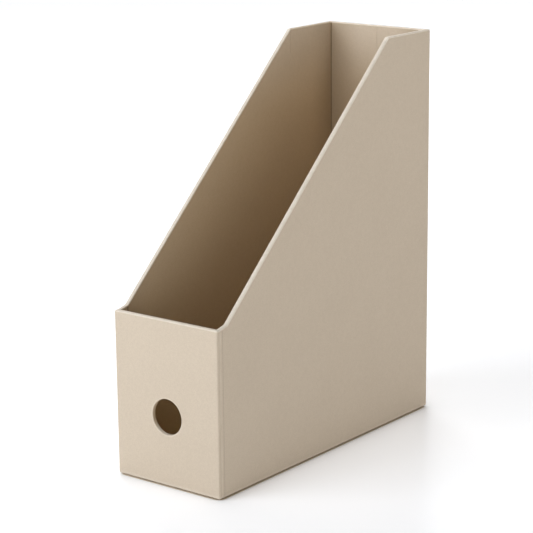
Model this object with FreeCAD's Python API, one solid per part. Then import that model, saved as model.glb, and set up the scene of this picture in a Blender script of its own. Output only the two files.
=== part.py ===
import FreeCAD, Part
import math
import os

# Magazine holder for A4 paper: a greyboard box with a low front, slanted sides and a high back,
# wrapped in paper inside and out, with a round finger hole low in the front.
# All sizes are in millimetres. The origin is the middle of the footprint on the floor.
# +X is to the right seen from the front, the front faces -Y, and +Z is up.

# Overall sizes
overall_width = 100.0
overall_depth = 276.0
overall_height = 318.0
front_height = 130.0
front_run = 11.6
front_rise = 1.8
top_run = 59.4

# Sheet materials
board = 3.0
paper = 0.25
stay_tape = 0.15
base_card = 0.8

# Rounding of the papered outer surface
corner_round = 1.2
rim_round = 1.2
rim_inner_round = 0.5
base_round = 1.2
front_kink_round = 8.0
low_kink_round = 4.0
top_kink_round = 2.2

# Finger hole in the front
hole_diameter = 28.0
hole_height = 55.0
hole_round = 0.7

# Laps, turn-ins and seams of the paper
front_return = 5.7
turn_in = 15.0
turn_under = 12.0
base_cover_margin = 3.0
seam_gap = 0.2
kink_slit = 1.2

# Corner stays
stay_leg = 12.0
stay_end_gap = 4.0

# Places that follow from the sizes above
wall = board + 2 * paper
body_x = overall_width / 2 - paper
body_y = overall_depth / 2
body_z = base_card
inner_x = body_x - wall
inner_y = body_y - wall
floor_z = body_z + wall
low_kink_y = -body_y + front_run
top_kink_y = body_y - top_run
low_kink_z = front_height + front_rise
lead = math.atan2(front_rise, low_kink_y + inner_y)
slant = math.atan2(overall_height - low_kink_z, top_kink_y - low_kink_y)
clear = overall_width


def block(x0, x1, y0, y1, z0, z1):
    """An upright block between two corners."""
    return Part.makeBox(x1 - x0, y1 - y0, z1 - z0, FreeCAD.Vector(x0, y0, z0))


def plan_prism(points, z0, z1):
    """An upright prism over a polygon in plan."""
    corners = [FreeCAD.Vector(x, y, z0) for x, y in points]
    outline = Part.makePolygon(corners + corners[:1])
    return Part.Face(outline).extrude(FreeCAD.Vector(0, 0, z1 - z0))


def upright_edges(shape):
    """The straight edges that run along Z."""
    boxes = ((edge, edge.BoundBox) for edge in shape.Edges)
    return [edge for edge, box in boxes if box.ZLength > paper and box.XLength + box.YLength < paper / 100]


def rounded_block(inset):
    """The body's outer block, every side drawn in by inset, with round upright corners."""
    x, y = body_x - inset, body_y - inset
    solid = block(-x, x, -y, y, body_z + inset, overall_height + clear)
    return solid.makeFillet(corner_round - inset, upright_edges(solid))


def lowered(y, z, before, after, inset):
    """A rim point lowered by inset, square to the stretches of rim before and after it."""
    reach = inset / math.cos((after - before) / 2)
    middle = (before + after) / 2
    return y + reach * math.sin(middle), z - reach * math.cos(middle)


def under_rim(inset):
    """All space below the rim line, with the line lowered square to itself by inset."""
    far = body_y + clear
    kinks = [
        (lowered(-inner_y, front_height, 0, lead, inset), front_kink_round + inset),
        (lowered(low_kink_y, low_kink_z, lead, slant, inset), low_kink_round + inset),
        (lowered(top_kink_y, overall_height, slant, 0, inset), top_kink_round - inset),
    ]
    line = [
        (-far, -clear),
        (-far, front_height - inset),
        *[point for point, radius in kinks],
        (far, overall_height - inset),
        (far, -clear),
    ]
    corners = [FreeCAD.Vector(-body_x - clear, y, z) for y, z in line]
    face = Part.Face(Part.makePolygon(corners + corners[:1]))
    solid = face.extrude(FreeCAD.Vector(2 * (body_x + clear), 0, 0))
    for (y, z), radius in kinks:
        if radius > paper:
            solid = solid.makeFillet(radius, [crease_at(solid, y, z)])
    return solid


def crease_at(shape, y, z):
    """The edge along X that passes nearest to a point of the side profile."""
    def miss(edge):
        middle = edge.CenterOfMass
        return math.hypot(middle.y - y, middle.z - z) + edge.BoundBox.YLength

    return min(shape.Edges, key=miss)


def pocket(inset):
    """The space inside the walls, which widens as the wall faces are drawn in by inset."""
    x, y = inner_x + inset, inner_y + inset
    return block(-x, x, -y, y, floor_z - inset, overall_height + clear)


def hole_bore(inset):
    """The finger hole as a cylinder through the front wall."""
    radius = hole_diameter / 2 + inset
    start = FreeCAD.Vector(0, -body_y - clear, hole_height)
    return Part.makeCylinder(radius, clear + 2 * wall, start, FreeCAD.Vector(0, 1, 0))


def rim_edges(shape, inset, inner):
    """The edges along the inner or the outer side of the rim band."""
    upward = [
        face for face in shape.Faces
        if face.CenterOfMass.z > front_height - wall and face.normalAt(*middle_of(face)).z > 0.1
    ]
    edges = [edge for face in upward for edge in face.Edges]
    border = [edge for edge in edges if sum(edge.isSame(other) for other in edges) == 1]
    return [edge for edge in border if faces_pocket(edge.BoundBox, inset) == inner]


def faces_pocket(box, inset):
    """True if a box stays within the inner faces of the walls."""
    x, y = inner_x + inset + paper / 100, inner_y + inset + paper / 100
    return max(-box.XMin, box.XMax) < x and max(-box.YMin, box.YMax) < y


def middle_of(face):
    """The surface parameters at the middle of a face."""
    u0, u1, v0, v1 = face.ParameterRange
    return (u0 + u1) / 2, (v0 + v1) / 2


def envelope(inset):
    """Walls and floor as one solid, every face drawn in by inset from the papered surface."""
    solid = rounded_block(inset).common(under_rim(inset))
    solid = solid.cut(pocket(inset)).cut(hole_bore(inset))
    solid = solid.makeFillet(rim_inner_round - inset, rim_edges(solid, inset, True))
    solid = solid.makeFillet(rim_round - inset, rim_edges(solid, inset, False))
    bottom = body_z + inset
    foot = [edge for edge in solid.Edges if abs(edge.BoundBox.ZMax - bottom) < paper / 100]
    solid = solid.makeFillet(base_round - inset, foot)
    radius = hole_diameter / 2 + inset
    mouth = [
        edge for edge in solid.Edges
        if abs(edge.Length - 2 * math.pi * radius) < paper / 100 and edge.BoundBox.YLength < paper / 100
    ]
    return solid.makeFillet(hole_round - inset, mouth)


def corner_stays():
    """Tape angles pressed flush into the boards at the four upright corners."""
    tape = rounded_block(paper).cut(rounded_block(paper + stay_tape))
    leg = paper + stay_leg
    low = body_z + base_round + stay_end_gap
    stays = {}
    for depth, side_y, rim in (("front", -1, front_height), ("back", 1, overall_height)):
        for width, side_x in (("left", -1), ("right", 1)):
            corner_x, corner_y = side_x * body_x, side_y * body_y
            xs = sorted((corner_x, corner_x - side_x * leg))
            ys = sorted((corner_y, corner_y - side_y * leg))
            corner = block(*xs, *ys, low, rim - rim_round - stay_end_gap)
            stays[f"{depth}_{width}_stay"] = tape.common(corner)
    return stays


def boards(stays):
    """The five boards, cut from the drawn-in envelope, with a bed for each stay."""
    carcass = envelope(paper)
    for stay in stays.values():
        carcass = carcass.cut(stay)
    x, y, top = inner_x + paper, inner_y + paper, overall_height + clear
    far_x, far_y = body_x + clear, body_y + clear
    return {
        "front_board": carcass.common(block(-far_x, far_x, -far_y, -y, 0, top)),
        "back_board": carcass.common(block(-far_x, far_x, y, far_y, 0, top)),
        "left_side_board": carcass.common(block(-far_x, -x, -y, y, 0, top)),
        "right_side_board": carcass.common(block(x, far_x, -y, y, 0, top)),
        "base_board": carcass.common(block(-x, x, -y, y, 0, floor_z)),
    }


def lined_zone():
    """The part of the board pocket that the linings cover, below the turned-in edges of the covers."""
    return pocket(paper).common(under_rim(turn_in))


def front_cover(skin):
    """Outer paper of the front: face, returns, rim, turned-in edge, hole wall and turned-under edge."""
    far = body_x + clear
    upper = skin.common(block(-far, far, -body_y - clear, -inner_y, body_z + paper, overall_height + clear))
    upper = upper.cut(lined_zone())
    edge = [
        (-body_x - clear, -body_y - clear),
        (body_x + clear, -body_y - clear),
        (body_x - turn_under, -body_y + turn_under),
        (-body_x + turn_under, -body_y + turn_under),
    ]
    sheet = upper.fuse(skin.common(plan_prism(edge, 0, body_z + paper)))
    low, high = body_z + base_round, front_height - rim_round
    y0, y1 = -inner_y - paper, -body_y + front_return
    sheet = sheet.fuse(block(body_x, body_x + paper, y0, y1, low, high))
    return sheet.fuse(block(-body_x - paper, -body_x, y0, y1, low, high))


def side_cover(skin, side):
    """Outer paper of one side and half of the back, turned in over the rim and under the base."""
    near, far = sorted((side * seam_gap / 2, side * (body_x + clear)))
    start = -inner_y + seam_gap
    upper = skin.common(block(near, far, start, body_y + clear, body_z + paper, overall_height + clear))
    upper = upper.cut(lined_zone())
    edge = [
        (side * (body_x + clear), -body_y - clear),
        (side * (body_x - turn_under), -body_y + turn_under),
        (side * (body_x - turn_under), body_y - turn_under),
        (side * seam_gap / 2, body_y - turn_under),
        (side * seam_gap / 2, body_y + clear),
        (side * (body_x + clear), body_y + clear),
    ]
    sheet = upper.fuse(skin.common(plan_prism(edge, 0, body_z + paper)))
    slits = ((low_kink_y, low_kink_z, kink_slit), (top_kink_y, overall_height, seam_gap))
    for kink_y, rim, slit in slits:
        xs = sorted((side * (inner_x - paper), side * (inner_x + paper)))
        y0, y1 = kink_y - slit / 2, kink_y + slit / 2
        sheet = sheet.cut(block(*xs, y0, y1, rim - 2 * turn_in, rim - rim_round))
    return sheet


def base_cover():
    """Thick paper card under the base. Its middle fills the space between the turned-under covers."""
    x, y = body_x - turn_under - seam_gap, body_y - turn_under - seam_gap
    middle = block(-x, x, -y, y, body_z, body_z + paper)
    x, y = body_x - base_cover_margin, body_y - base_cover_margin
    return middle.fuse(block(-x, x, -y, y, 0, body_z))


def linings(skin):
    """The inner papers below the turned-in edges: front, left, right and floor."""
    lined = skin.common(lined_zone())
    top = overall_height + clear
    seam = seam_gap / 2
    low_seam = kink_slit / 2
    far = body_x + clear
    walls = lined.cut(block(-inner_x, inner_x, -inner_y, inner_y, 0, floor_z))
    floor_x, floor_y = inner_x - seam_gap, inner_y - seam_gap
    return {
        "front_lining": walls.common(block(-far, far, -body_y, low_kink_y - low_seam, 0, top)),
        "left_lining": walls.common(block(-far, -seam, low_kink_y + low_seam, body_y, 0, top)),
        "right_lining": walls.common(block(seam, far, low_kink_y + low_seam, body_y, 0, top)),
        "base_lining": block(-floor_x, floor_x, -floor_y, floor_y, floor_z - paper, floor_z),
    }


def main():
    os.makedirs("parts", exist_ok=True)
    stays = corner_stays()
    skin = envelope(0).cut(envelope(paper))
    nodes = {
        **boards(stays),
        **stays,
        "front_cover": front_cover(skin),
        "left_cover": side_cover(skin, -1),
        "right_cover": side_cover(skin, 1),
        "base_cover": base_cover(),
        **linings(skin),
    }
    for name, shape in nodes.items():
        shape = shape.removeSplitter()
        print(f"{name}: {len(shape.Solids)} solid, valid {shape.isValid()}, {shape.Volume:.1f} mm3")
        shape.exportStep(f"parts/{name}.step")


main()
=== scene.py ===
import math

import bpy
from mathutils import Matrix, Vector

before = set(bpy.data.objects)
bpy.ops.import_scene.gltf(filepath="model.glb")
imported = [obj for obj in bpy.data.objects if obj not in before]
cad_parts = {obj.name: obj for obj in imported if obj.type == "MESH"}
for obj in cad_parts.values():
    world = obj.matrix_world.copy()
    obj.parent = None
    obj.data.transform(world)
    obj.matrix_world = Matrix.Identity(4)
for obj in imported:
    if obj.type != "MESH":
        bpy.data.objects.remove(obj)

MM = 0.001

# Camera, as worked out from the edges of the box in the photograph. The angles are in degrees,
# and the lens and the sensor are in millimetres
CAMERA_AZIMUTH = 37.940
CAMERA_ELEVATION = 14.234
CAMERA_ROLL = -0.577
CAMERA_DISTANCE = 1547.73 * MM
CAMERA_PAN = (9.482 * MM, 7.439 * MM)
CAMERA_TARGET = Vector((0.0, 0.0, 150.0 * MM))
CAMERA_LENS = 133.04
SENSOR_WIDTH = 36.0

# Lights: position and size across in metres, power in watts, and colour
COOL = (0.965, 1.0, 1.05)
WHITE = (1.0, 1.0, 1.0)
WARM = (1.0, 0.93, 0.82)
LIGHTS = {
    "key_light": ((-1.0, -1.6, 1.5), 1.2, 17.7, COOL),
    "low_key_light": ((-1.4, -1.6, 0.7), 1.0, 4.9, COOL),
    "front_top_light": ((0.0, -1.3, 2.0), 1.4, 12.6, COOL),
    "right_light": ((1.7, -0.6, 0.9), 1.2, 2.3, WARM),
    "back_right_light": ((1.3, 0.4, 1.5), 1.0, 3.3, WARM),
    "back_left_light": ((-1.3, 1.3, 1.5), 1.2, 22.0, WHITE),
}
LIGHT_TARGET = Vector((0.0, 0.0, 0.15))

# Places on the box that the finishes follow
FRONT_Y = -138 * MM
FRONT_Z = 130 * MM
TOP_Z = 318 * MM
FRONT_KINK_Y = -134.5 * MM
LOW_KINK_Y = -126.4 * MM
LOW_KINK_Z = 131.8 * MM
TOP_KINK_Y = 78.6 * MM
SIDE_X = 50 * MM
INNER_X = 46.25 * MM
INNER_Y = 134.5 * MM
HOLE_Z = 55 * MM
HOLE_RADIUS = 14 * MM
# Middle of the painted highlight round the hole's edge
HOLE_EDGE_RADIUS = HOLE_RADIUS + 0.4 * MM
# Middle of the painted highlight of a ridge beside the front corners
RIDGE_Y = -134.8 * MM
# Middle of the painted shadow line where the front's paper ends on the sides
LAP_LINE_Y = -132.05 * MM

# Smooth changes along a place or a distance: where each one starts and ends, and its values
# there, which are 0 and 1 unless they are given
INSIDE_WALLS = (0.4 * MM, 0.8 * MM, 1.0, 0.0)
INSIDE_FLOOR = (2 * MM, 3 * MM)
# Painted light inside the box towards its open top
PAINTED_TOP_LIGHT_RANGE = (TOP_Z - 70 * MM, TOP_Z, 0.0, 0.75)
# Painted shade in the back wall's corners, which holds back the painted top light there
BACK_WALL = (INNER_Y - 3 * MM, INNER_Y - 1.5 * MM)
BACK_CORNER = (0.0, 30 * MM, 0.5, 0.0)
# Painted light low on the inside walls
LOW_LIT_WALLS = (40 * MM, 100 * MM, 1.0, 0.0)
# Painted shade in the inner corners: strong in the crease, soft beside it
CREASE = (0.3 * MM, 1.1 * MM, 0.7, 0.0)
SOFT_CREASE = (0.0, 32 * MM, 0.22, 0.0)
# The hole's bore wall, which takes the inside's painted shade
BORE_WALL = (HOLE_RADIUS + 0.1 * MM, HOLE_RADIUS + 0.5 * MM, 1.0, 0.0)
BORE_DEPTH = (-INNER_Y, -INNER_Y + 1 * MM, 1.0, 0.0)
# Painted light low in the hole's bore, where light from above falls
BORE_FOOT = (HOLE_Z - 12 * MM, HOLE_Z - 4 * MM, 0.8, 0.0)
# How much of the painted highlight round the hole's edge shows, fading into the hole
HOLE_EDGE_DEPTH = (FRONT_Y + 0.5 * MM, FRONT_Y + 1.2 * MM, 0.35, 0.0)
# Painted highlight on the rims, brighter on the top rim
RIM_BAND = (-1.4 * MM, -0.6 * MM)
HIGH_RIM = (TOP_Z - 4 * MM, TOP_Z - 1 * MM)
# Painted light at the foot, against the shade of the rounded bottom edge
FOOT_BAND = (1 * MM, 4 * MM, 0.5, 0.0)
SIDE_FACES = (SIDE_X - 0.5 * MM, SIDE_X - 0.3 * MM)
# Where the painted shadow line of the front paper's edge stops, below the front rim
BELOW_FRONT_RIM = (FRONT_Z - 1.6 * MM, FRONT_Z - 1.0 * MM, 1.0, 0.0)

# Narrow bands: how far from their middle they are full, and how far from it they end
# Painted highlight round the hole's edge
HOLE_EDGE_BAND = (0.3 * MM, 0.9 * MM)
# Painted highlight of the ridge beside the front corners: this band and the ridge share
RIDGE_BAND = (0.4 * MM, 1.0 * MM)
# Painted shadow line of the front paper's edge: this band and the lap line share
LAP_LINE_BAND = (0.25 * MM, 0.55 * MM)
RIDGE_SHARE = 0.3
LAP_LINE_SHARE = 0.3

# Noise: its size and detail, and how it is turned into a share
CLOUD_SIZE = 45 * MM
CLOUD_DETAIL = 2
CLOUD_SHIFT = (0.3, 0.7, -0.15, 0.15)
MOTTLE_DETAIL = 3
MOTTLE_SHIFT = (0.3, 0.7, -0.25, 0.25)
SPECK_DETAIL = 4
SPECK_ROUGHNESS = 0.7
SPECK_SHIFT = (0.25, 0.75, -0.6, 1.6)
# Noise that makes the painted highlights uneven
HIGHLIGHT_NOISE_SIZE = 7 * MM
HIGHLIGHT_NOISE_DETAIL = 3
HIGHLIGHT_NOISE_SHIFT = (0.35, 0.65, 0.75, 1.0)

# Colours, linear
COVER_COLOUR = (0.655, 0.553, 0.431, 1.0)
COVER_DARK = (0.615, 0.516, 0.400, 1.0)
# Painted highlight colours for the rims, the hole's edge, the ridge and the foot, brighter on the
# top rim
RIM_HIGHLIGHT_COLOUR = (0.870, 0.780, 0.660, 1.0)
TOP_RIM_HIGHLIGHT_COLOUR = (1.000, 0.905, 0.775, 1.0)
# The inner paper: the cover's paper made darker and browner as painted shade inside the box
LINING_COLOUR = (0.615, 0.482, 0.326, 1.0)
LINING_DARK = (0.580, 0.450, 0.299, 1.0)
# Painted light colours inside the box near its top
PAINTED_TOP_LIGHT_COLOUR = (0.720, 0.612, 0.485, 1.0)
PAINTED_TOP_LIGHT_DARK = (0.676, 0.571, 0.450, 1.0)
# Painted light colours low inside the box
LOW_LIT_COLOUR = (0.692, 0.552, 0.355, 1.0)
LOW_LIT_DARK = (0.655, 0.519, 0.325, 1.0)
SHADE_COLOUR = (0.200, 0.140, 0.080, 1.0)
BOARD_COLOUR = (0.270, 0.230, 0.180, 1.0)
BOARD_DARK = (0.200, 0.170, 0.130, 1.0)
TAPE_COLOUR = (0.420, 0.270, 0.150, 1.0)
TAPE_DARK = (0.340, 0.210, 0.110, 1.0)

# Kinds of sheet. Relief is the height of the bumps and strength how much of it shows
COVER_SHEET = {"grain": 0.8 * MM, "fibre": 3.0 * MM, "relief": 0.06 * MM, "strength": 0.35,
               "shine": 0.3, "roughness": (0.72, 0.84)}
LINING_SHEET = {"grain": 0.8 * MM, "fibre": 3.0 * MM, "relief": 0.06 * MM, "strength": 0.35,
                "shine": 0.25, "roughness": (0.76, 0.88)}
BOARD_SHEET = {"grain": 0.8 * MM, "fibre": 2.5 * MM, "relief": 0.12 * MM, "strength": 0.4,
               "shine": 0.2, "roughness": (0.84, 0.96)}
TAPE_SHEET = {"grain": 0.6 * MM, "fibre": 4.0 * MM, "relief": 0.08 * MM, "strength": 0.4,
              "shine": 0.2, "roughness": (0.64, 0.76)}
MOTTLE_RANGE = (0.3, 0.7)

# Surroundings. The glows are smooth changes too: the floor's along the distance from the middle
# of the box, in metres, and the sky's along the height, which is 0 at the horizon
FLOOR_REACH = 12.0
FLOOR_DROP = 0.02 * MM
FLOOR_COLOUR = (0.890, 0.900, 0.912, 1.0)
FLOOR_ROUGHNESS = 0.35
FLOOR_GLOW = (0.5, 2.2, 0.460, 0.80)
FLOOR_GLOW_COLOUR = (0.995, 1.000, 1.030, 1.0)
# Painted warm reflection of the box's paper on the floor under it, seen in the gap under the
# walls
FOOTPRINT_REFLECTION_COLOUR = (0.780, 0.690, 0.560, 1.0)
FOOTPRINT_EDGE = (0.0, 1 * MM)
# How fast the floor's painted contact shadow clears away from the box, and the rounding of its
# footprint
FOOT_SHADE = 3.4 * MM
FOOT_ROUND = 6 * MM
SKY_GLOW = (0.05, 0.4, 1.0, 0.0)
SKY_COLOUR = (1.0, 1.0, 1.0, 1.0)

# Places of the colour mix node's sockets, which share their names with others
MIX_SHARE, MIX_FIRST, MIX_SECOND = 0, 6, 7
MIX_RESULT = 2


def smooth_range(tree, value, start, end, low, high):
    """A value that goes smoothly from low to high while the input goes from start to end."""
    node = tree.nodes.new("ShaderNodeMapRange")
    node.interpolation_type = "SMOOTHSTEP"
    limits = {"From Min": start, "From Max": end, "To Min": low, "To Max": high}
    for socket, number in limits.items():
        node.inputs[socket].default_value = number
    tree.links.new(value, node.inputs["Value"])
    return node.outputs["Result"]


class Finish:
    """A node material built step by step. Positions are in metres in the object's own frame."""

    def __init__(self, name):
        self.material = bpy.data.materials.new(name)
        self.material.use_nodes = True
        self.tree = self.material.node_tree
        self.shader = self.tree.nodes["Principled BSDF"]
        self.place = self.tree.nodes.new("ShaderNodeTexCoord").outputs["Object"]
        parts = self.tree.nodes.new("ShaderNodeSeparateXYZ")
        self.tree.links.new(self.place, parts.inputs["Vector"])
        self.x, self.y, self.z = (parts.outputs[axis] for axis in "XYZ")

    def feed(self, value, socket):
        if isinstance(value, bpy.types.NodeSocket):
            self.tree.links.new(value, socket)
        else:
            socket.default_value = value

    def math(self, operation, *values):
        """The operation on one or two values, and then on the result and each further value."""
        node = self.tree.nodes.new("ShaderNodeMath")
        node.operation = operation
        for value, socket in zip(values[:2], node.inputs):
            self.feed(value, socket)
        result = node.outputs["Value"]
        return self.math(operation, result, *values[2:]) if len(values) > 2 else result

    def length(self, first, second):
        """The length of the long side of a right triangle."""
        squares = (self.math("MULTIPLY", value, value) for value in (first, second))
        return self.math("SQRT", self.math("ADD", *squares))

    def off_plane(self, value, limit):
        """How far a value is from plus or minus the limit, on either side of it."""
        outward = self.math("SUBTRACT", self.math("ABSOLUTE", value), limit)
        return self.math("ABSOLUTE", outward)

    def beyond(self, value, limit):
        """How far a value lies beyond plus or minus the limit, and 0 between them."""
        outward = self.math("SUBTRACT", self.math("ABSOLUTE", value), limit)
        return self.math("MAXIMUM", outward, 0.0)

    def noise(self, size, detail, rough=0.6):
        node = self.tree.nodes.new("ShaderNodeTexNoise")
        node.inputs["Scale"].default_value = 1.0 / size
        node.inputs["Detail"].default_value = detail
        node.inputs["Roughness"].default_value = rough
        self.tree.links.new(self.place, node.inputs["Vector"])
        return node.outputs["Fac"]

    def smooth(self, value, start, end, low=0.0, high=1.0):
        return smooth_range(self.tree, value, start, end, low, high)

    def near(self, value, centre, full, none):
        """1 where the value is within full of the centre, fading to 0 at none from it."""
        off = self.math("ABSOLUTE", self.math("SUBTRACT", value, centre))
        return self.smooth(off, full, none, 1.0, 0.0)

    def mix(self, share, first, second):
        """The first colour where the share is 0, and the second where it is 1."""
        node = self.tree.nodes.new("ShaderNodeMix")
        node.data_type = "RGBA"
        self.feed(share, node.inputs[MIX_SHARE])
        self.feed(first, node.inputs[MIX_FIRST])
        self.feed(second, node.inputs[MIX_SECOND])
        return node.outputs[MIX_RESULT]

    def colour(self, value):
        self.tree.links.new(value, self.shader.inputs["Base Color"])

    def surface(self, height, relief, strength, roughness):
        self.tree.links.new(roughness, self.shader.inputs["Roughness"])
        bump = self.tree.nodes.new("ShaderNodeBump")
        bump.inputs["Strength"].default_value = strength
        bump.inputs["Distance"].default_value = relief
        self.tree.links.new(height, bump.inputs["Height"])
        self.tree.links.new(bump.outputs["Normal"], self.shader.inputs["Normal"])


def paper_body(finish, sheet, light, dark):
    """The clouds, mottle and grain of unprinted paper. Sets the surface and gives the colour."""
    cloud = finish.noise(CLOUD_SIZE, CLOUD_DETAIL)
    mottle = finish.noise(sheet["fibre"], MOTTLE_DETAIL)
    speck = finish.noise(sheet["grain"], SPECK_DETAIL, SPECK_ROUGHNESS)
    share = finish.math("ADD", finish.smooth(cloud, *CLOUD_SHIFT),
                        finish.smooth(mottle, *MOTTLE_SHIFT),
                        finish.smooth(speck, *SPECK_SHIFT))
    finish.shader.inputs["Specular IOR Level"].default_value = sheet["shine"]
    finish.surface(finish.math("ADD", speck, mottle), sheet["relief"], sheet["strength"],
                   finish.smooth(mottle, *MOTTLE_RANGE, *sheet["roughness"]))
    return finish.mix(share, light, dark)


def rim_height(finish):
    """How far a point lies above the box's rim line, in metres, negative below it."""
    def above(start_y, start_z, end_y, end_z):
        tilt = math.atan2(end_z - start_z, end_y - start_y)
        rise = finish.math("MULTIPLY", finish.math("SUBTRACT", finish.z, start_z), math.cos(tilt))
        run = finish.math("MULTIPLY", finish.math("SUBTRACT", finish.y, start_y), math.sin(tilt))
        return finish.math("SUBTRACT", rise, run)

    low = finish.math("MINIMUM", finish.math("SUBTRACT", finish.z, FRONT_Z),
                      above(FRONT_KINK_Y, FRONT_Z, LOW_KINK_Y, LOW_KINK_Z),
                      above(LOW_KINK_Y, LOW_KINK_Z, TOP_KINK_Y, TOP_Z))
    return finish.math("MAXIMUM", low, finish.math("SUBTRACT", finish.z, TOP_Z))


def inside_share(finish):
    """1 on the faces that look into the box."""
    sides = finish.smooth(finish.beyond(finish.x, INNER_X), *INSIDE_WALLS)
    ends = finish.smooth(finish.beyond(finish.y, INNER_Y), *INSIDE_WALLS)
    return finish.math("MULTIPLY", sides, ends, finish.smooth(finish.z, *INSIDE_FLOOR))


def inner_shades(finish, low=0.0):
    """The two shades of the paper inside the box: with painted light towards the top, held back
    by painted shade in the back wall's corners, and with painted light by the low share."""
    corner = finish.smooth(finish.off_plane(finish.x, INNER_X), *BACK_CORNER)
    # Painted shade beside the back wall's corners
    back_corner_shade = finish.math("MULTIPLY", finish.smooth(finish.y, *BACK_WALL), corner)
    painted_top_light = finish.math("MULTIPLY", finish.smooth(finish.z, *PAINTED_TOP_LIGHT_RANGE),
                        finish.math("SUBTRACT", 1.0, back_corner_shade))
    shades = ((LINING_COLOUR, LOW_LIT_COLOUR, PAINTED_TOP_LIGHT_COLOUR), (LINING_DARK, LOW_LIT_DARK, PAINTED_TOP_LIGHT_DARK))
    return [finish.mix(painted_top_light, finish.mix(low, deep, foot), high) for deep, foot, high in shades]


def painted_crease_shade(finish, colour):
    """Darkens a colour in the inner corners with painted shade: softly beside them and strongly
    in the crease.
    """
    apart = finish.math("ADD", finish.off_plane(finish.x, INNER_X),
                        finish.off_plane(finish.y, INNER_Y))
    shade = finish.math("MAXIMUM", finish.smooth(apart, *CREASE),
                        finish.smooth(apart, *SOFT_CREASE))
    shade = finish.math("MULTIPLY", shade, inside_share(finish))
    return finish.mix(shade, colour, SHADE_COLOUR)


def painted_highlight_share(finish, hole_way, bore, outside):
    """How far the cover takes the painted highlight colour: on the rims, round the hole and low
    in its bore, on the ridge beside the front corners, and at the foot, made uneven by noise."""
    rims = finish.smooth(rim_height(finish), *RIM_BAND)
    hole_edge = finish.math("MULTIPLY", finish.near(hole_way, HOLE_EDGE_RADIUS, *HOLE_EDGE_BAND),
                            finish.smooth(finish.y, *HOLE_EDGE_DEPTH))
    bore_foot = finish.math("MULTIPLY", bore, finish.smooth(finish.z, *BORE_FOOT))
    ridge = finish.math("MULTIPLY", finish.near(finish.y, RIDGE_Y, *RIDGE_BAND), outside,
                        RIDGE_SHARE)
    foot = finish.smooth(finish.z, *FOOT_BAND)
    uneven = finish.smooth(finish.noise(HIGHLIGHT_NOISE_SIZE, HIGHLIGHT_NOISE_DETAIL), *HIGHLIGHT_NOISE_SHIFT)
    return finish.math("MULTIPLY", uneven,
                       finish.math("MAXIMUM", rims, hole_edge, bore_foot, ridge, foot))


def cover_paper():
    """The outer paper: as the lining, in painted shade, where it turns into the box and in the
    hole's bore; with painted highlights on the rims, round the hole, on the ridge and at the
    foot; and with a fine painted shadow line where the front's paper ends on the sides."""
    finish = Finish("cover_paper_finish")
    hole_way = finish.length(finish.x, finish.math("SUBTRACT", finish.z, HOLE_Z))
    bore = finish.math("MULTIPLY", finish.smooth(hole_way, *BORE_WALL),
                       finish.smooth(finish.y, *BORE_DEPTH))
    outside = finish.smooth(finish.math("ABSOLUTE", finish.x), *SIDE_FACES)

    # The turn-ins and the hole's bore take the inside's tones, which are painted shade
    inside = finish.math("MAXIMUM", inside_share(finish), bore)
    shades = [finish.mix(inside, outer, inner)
              for outer, inner in zip((COVER_COLOUR, COVER_DARK), inner_shades(finish))]
    colour = painted_crease_shade(finish, paper_body(finish, COVER_SHEET, *shades))
    # The painted highlight colour, brighter on the top rim
    rim = finish.mix(finish.smooth(finish.z, *HIGH_RIM), RIM_HIGHLIGHT_COLOUR, TOP_RIM_HIGHLIGHT_COLOUR)
    colour = finish.mix(painted_highlight_share(finish, hole_way, bore, outside), colour, rim)

    # Painted shadow line where the front's paper ends on the sides
    lap_line = finish.math("MULTIPLY", outside, finish.near(finish.y, LAP_LINE_Y, *LAP_LINE_BAND),
                           finish.smooth(finish.z, *BELOW_FRONT_RIM), LAP_LINE_SHARE)
    finish.colour(finish.mix(lap_line, colour, SHADE_COLOUR))
    return finish.material


def lining_paper():
    """The inner paper, the same kind as the cover, with painted shade in the corners and painted
    light low down.
    """
    finish = Finish("lining_paper_finish")
    shades = inner_shades(finish, finish.smooth(finish.z, *LOW_LIT_WALLS))
    finish.colour(painted_crease_shade(finish, paper_body(finish, LINING_SHEET, *shades)))
    return finish.material


def plain_sheet(name, sheet, light, dark):
    """Raw board or tape without a papered surface."""
    finish = Finish(name)
    finish.colour(paper_body(finish, sheet, light, dark))
    return finish.material


def dress(names, material):
    for name in names:
        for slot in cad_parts[name].material_slots:
            slot.material = material


def area_light(name, position, size, power, colour):
    data = bpy.data.lights.new(name, "AREA")
    data.size = size
    data.energy = power
    data.color = colour
    lamp = bpy.data.objects.new(name, data)
    lamp.location = position
    lamp.rotation_euler = (LIGHT_TARGET - Vector(position)).to_track_quat("-Z", "Y").to_euler()
    bpy.context.collection.objects.link(lamp)


def make_camera():
    azimuth, elevation, roll = (
        math.radians(angle) for angle in (CAMERA_AZIMUTH, CAMERA_ELEVATION, CAMERA_ROLL))
    right = Vector((math.cos(azimuth), math.sin(azimuth), 0.0))
    back = Vector((math.sin(azimuth) * math.cos(elevation),
                   -math.cos(azimuth) * math.cos(elevation),
                   math.sin(elevation)))
    up = back.cross(right)
    across = right * math.cos(roll) + up * math.sin(roll)
    upward = up * math.cos(roll) - right * math.sin(roll)
    data = bpy.data.cameras.new("camera")
    data.sensor_width = SENSOR_WIDTH
    data.lens = CAMERA_LENS
    camera = bpy.data.objects.new("camera", data)
    turn = Matrix((across, upward, back)).transposed()
    place = CAMERA_TARGET + turn @ Vector((-CAMERA_PAN[0], -CAMERA_PAN[1], CAMERA_DISTANCE))
    camera.matrix_world = Matrix.Translation(place) @ turn.to_4x4()
    bpy.context.collection.objects.link(camera)
    bpy.context.scene.camera = camera


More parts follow.
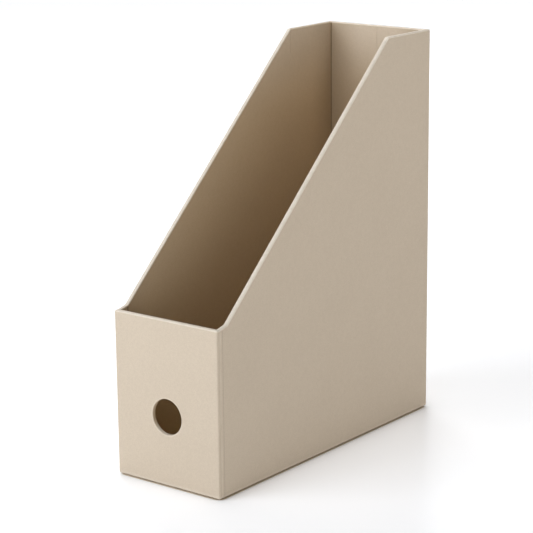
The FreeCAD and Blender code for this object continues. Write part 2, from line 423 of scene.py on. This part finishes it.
def make_floor():
    """A pale floor that glows a little, more with distance, and less where the box stands close,
    which paints the box's contact shadow; under the box it is painted in the paper's reflection.
    It lies just under the base, so that the two faces never share a plane."""
    corners = ((-1, -1), (1, -1), (1, 1), (-1, 1))
    mesh = bpy.data.meshes.new("floor")
    mesh.from_pydata([(x * FLOOR_REACH, y * FLOOR_REACH, -FLOOR_DROP) for x, y in corners],
                     [], [(0, 1, 2, 3)])
    floor = bpy.data.objects.new("floor", mesh)
    bpy.context.collection.objects.link(floor)

    finish = Finish("floor_finish")
    finish.shader.inputs["Roughness"].default_value = FLOOR_ROUGHNESS
    finish.shader.inputs["Emission Color"].default_value = FLOOR_GLOW_COLOUR
    away = finish.length(finish.beyond(finish.x, SIDE_X - FOOT_ROUND),
                         finish.beyond(finish.y, -FRONT_Y - FOOT_ROUND))
    away = finish.math("MAXIMUM", finish.math("SUBTRACT", away, FOOT_ROUND), 0.0)
    below = finish.tree.nodes.new("ShaderNodeNewGeometry").outputs["Backfacing"]
    # Under the box the floor takes the painted reflection of the paper
    open_floor = finish.math("MAXIMUM", finish.smooth(away, *FOOTPRINT_EDGE), below)
    finish.colour(finish.mix(open_floor, FOOTPRINT_REFLECTION_COLOUR, FLOOR_COLOUR))
    # Painted contact shadow: the glow is cut close to the box
    out_of_painted_shadow = finish.math("DIVIDE", away, finish.math("ADD", away, FOOT_SHADE))
    out_of_painted_shadow = finish.math("MAXIMUM", out_of_painted_shadow, below)
    glow = finish.smooth(finish.length(finish.x, finish.y), *FLOOR_GLOW)
    finish.feed(finish.math("MULTIPLY", glow, out_of_painted_shadow), finish.shader.inputs["Emission Strength"])
    mesh.materials.append(finish.material)


def make_sky():
    """White round the horizon and dark overhead, so that light comes in low from all sides."""
    world = bpy.data.worlds.new("sky")
    world.use_nodes = True
    tree = world.node_tree
    place = tree.nodes.new("ShaderNodeTexCoord")
    parts = tree.nodes.new("ShaderNodeSeparateXYZ")
    tree.links.new(place.outputs["Generated"], parts.inputs["Vector"])
    background = tree.nodes["Background"]
    background.inputs["Color"].default_value = SKY_COLOUR
    glow = smooth_range(tree, parts.outputs["Z"], *SKY_GLOW)
    tree.links.new(glow, background.inputs["Strength"])
    bpy.context.scene.world = world


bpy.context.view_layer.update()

bpy.context.scene.view_settings.view_transform = "Standard"
make_camera()
make_floor()
make_sky()
for name, facts in LIGHTS.items():
    area_light(name, *facts)

dress(("front_cover", "left_cover", "right_cover", "base_cover"), cover_paper())
dress(("front_lining", "left_lining", "right_lining", "base_lining"), lining_paper())
dress(("base_board", "front_board", "back_board", "left_side_board", "right_side_board"),
      plain_sheet("greyboard_finish", BOARD_SHEET, BOARD_COLOUR, BOARD_DARK))
dress(("front_left_stay", "front_right_stay", "back_left_stay", "back_right_stay"),
      plain_sheet("kraft_tape_finish", TAPE_SHEET, TAPE_COLOUR, TAPE_DARK))
